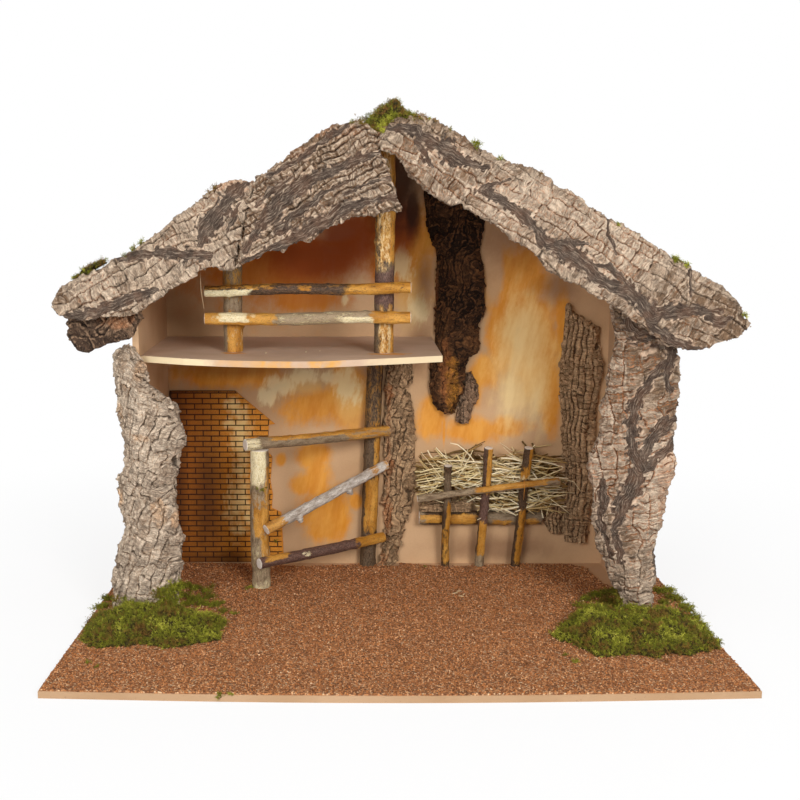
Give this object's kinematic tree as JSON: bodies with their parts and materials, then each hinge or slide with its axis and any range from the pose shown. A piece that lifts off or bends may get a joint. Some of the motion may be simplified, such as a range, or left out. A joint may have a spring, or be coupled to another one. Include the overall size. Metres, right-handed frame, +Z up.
{
  "type": "wooden nativity stable",
  "caption": "Open-fronted wooden nativity stable with a bark roof, a loft, a stall fence, a hay rack and a grained base.",
  "frame": {"origin": "centre of the underside of the base board, where the stable rests", "axes": "+X to the right as seen from the open front, +Y from the open front to the back wall, +Z up"},
  "size_m": [0.524, 0.313, 0.4143],
  "materials": {
    "fibreboard": "bare pressed fibreboard, matt",
    "painted_board": "fibreboard brushed with thin ochre, orange and cream paint, matt",
    "brick_board": "engraved fibreboard stained ochre brown, matt",
    "cork_grains": "glued loose cork grains, rough",
    "bark": "raw bark, deeply cracked, rough",
    "pale_bark": "raw pale grey bark, deeply cracked, rough",
    "dark_bark": "raw dark bark, rough",
    "painted_stick": "twig with its bark on, brushed with ochre and cream paint",
    "grey_stick": "twig with smooth silver-grey bark, ends brushed ochre",
    "hay": "dry grass stalks, matt",
    "moss": "dried moss, rough"
  },
  "bodies": {
    "root": {"base_board": "fibreboard", "ground_cover": "cork_grains", "back_wall": "painted_board", "side_wall_left": "fibreboard", "side_wall_right": "fibreboard", "roof_board_left": "fibreboard", "roof_board_right": "fibreboard", "brick_panel": "brick_board", "loft_floor": "painted_board", "loft_post_left": "painted_stick", "loft_post_right": "painted_stick", "loft_rail_upper": "painted_stick", "loft_rail_lower": "painted_stick", "stall_post": "painted_stick", "centre_post": "painted_stick", "stall_rail_top": "painted_stick", "stall_brace": "grey_stick", "stall_rail_bottom": "painted_stick", "rack_log": "painted_stick", "rack_stick_left": "painted_stick", "rack_stick_middle": "painted_stick", "rack_stick_right": "painted_stick", "rack_crossbar": "painted_stick", "rack_bark": "bark", "hay": "hay", "bark_column_left": "pale_bark", "bark_column_right": "bark", "bark_strip_centre": "bark", "bark_hanging": "dark_bark", "bark_hanging_tip": "dark_bark", "bark_corner": "bark", "bark_corner_chip": "bark", "roof_bark_left_lower": "bark", "roof_bark_left_upper": "bark", "roof_bark_right": "bark", "roof_bark_eave": "dark_bark", "top_bark_left_lower": "bark", "top_bark_left_upper": "bark", "top_bark_right_lower": "bark", "top_bark_right_upper": "bark", "moss_left": "moss", "moss_right": "moss", "moss_ridge": "moss", "moss_eave": "moss"}
  },
  "joints": []
}
